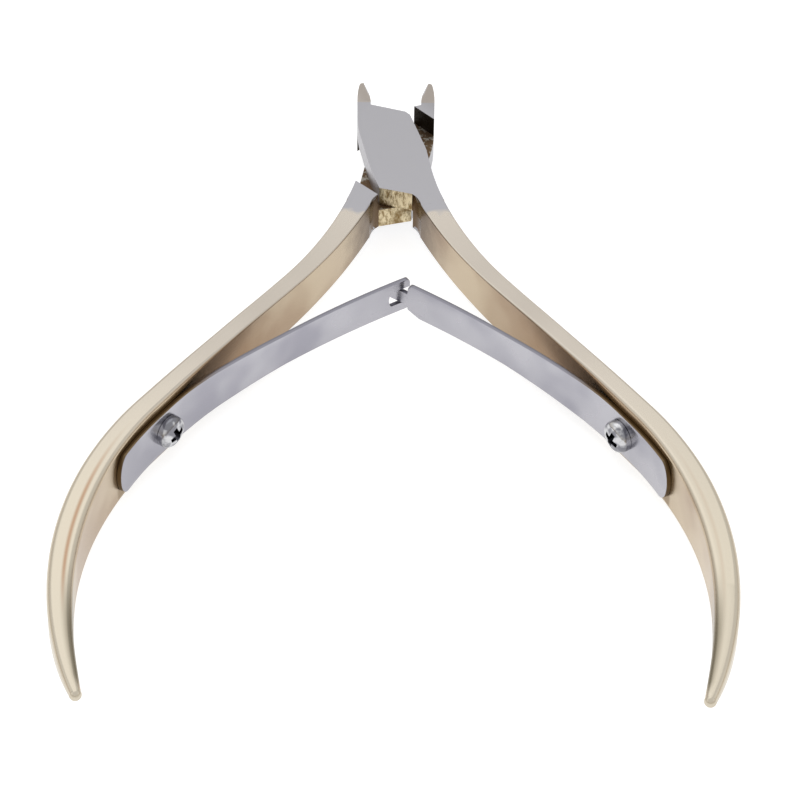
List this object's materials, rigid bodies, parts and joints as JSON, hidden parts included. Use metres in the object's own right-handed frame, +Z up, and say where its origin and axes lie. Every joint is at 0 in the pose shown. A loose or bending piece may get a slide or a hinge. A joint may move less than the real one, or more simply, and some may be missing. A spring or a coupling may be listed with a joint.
{
  "type": "cuticle nipper",
  "caption": "Cuticle nipper: lap joint with flush rivet, two small cutting jaws, curved tapering handles and a pair of interlocked leaf springs held by cross-head screws.",
  "frame": {"origin": "bottom centre of the bounding box with the tool lying flat and sprung open", "axes": "+Y from the handle ends to the jaws, +X across the tool to the right when seen from above, +Z up along the pivot's axis"},
  "size_m": [0.0714, 0.0964, 0.0079],
  "materials": {
    "plated_steel": "pale champagne plating, bare satin steel at the joint",
    "joint_steel": "satin ground steel",
    "spring_steel": "polished spring steel",
    "screw_steel": "bright"
  },
  "bodies": {
    "front": {"front_half": "plated_steel", "pivot_rivet": "joint_steel", "right_screw": "screw_steel", "right_spring_foot": "spring_steel"},
    "back": {"back_half": "plated_steel", "left_screw": "screw_steel", "left_spring_foot": "spring_steel"},
    "right_arm": {"right_spring_arm": "spring_steel"},
    "left_arm": {"left_spring_arm": "spring_steel"}
  },
  "joints": [
    {"name": "handle_pivot", "type": "hinge", "parent": "front", "child": "back", "pos_m": [0, 0.03459, 0.00396], "axis": [0, 0, 1], "range_deg": [-4, 28], "stiffness_Nm_per_rad": 0.8},
    {"name": "right_arm_bend", "type": "hinge", "parent": "front", "child": "right_arm", "pos_m": [0.01947, -0.0029, 0.00396], "axis": [0, 0, 1], "range_deg": [-14, 2.5]},
    {"name": "left_arm_bend", "type": "hinge", "parent": "back", "child": "left_arm", "pos_m": [-0.01947, -0.0029, 0.00396], "axis": [0, 0, 1], "range_deg": [-2.5, 14]}
  ],
  "couplings": [
    {"joint": "right_arm_bend", "follows": "handle_pivot", "ratio": -0.48},
    {"joint": "left_arm_bend", "follows": "handle_pivot", "ratio": 0.48}
  ]
}
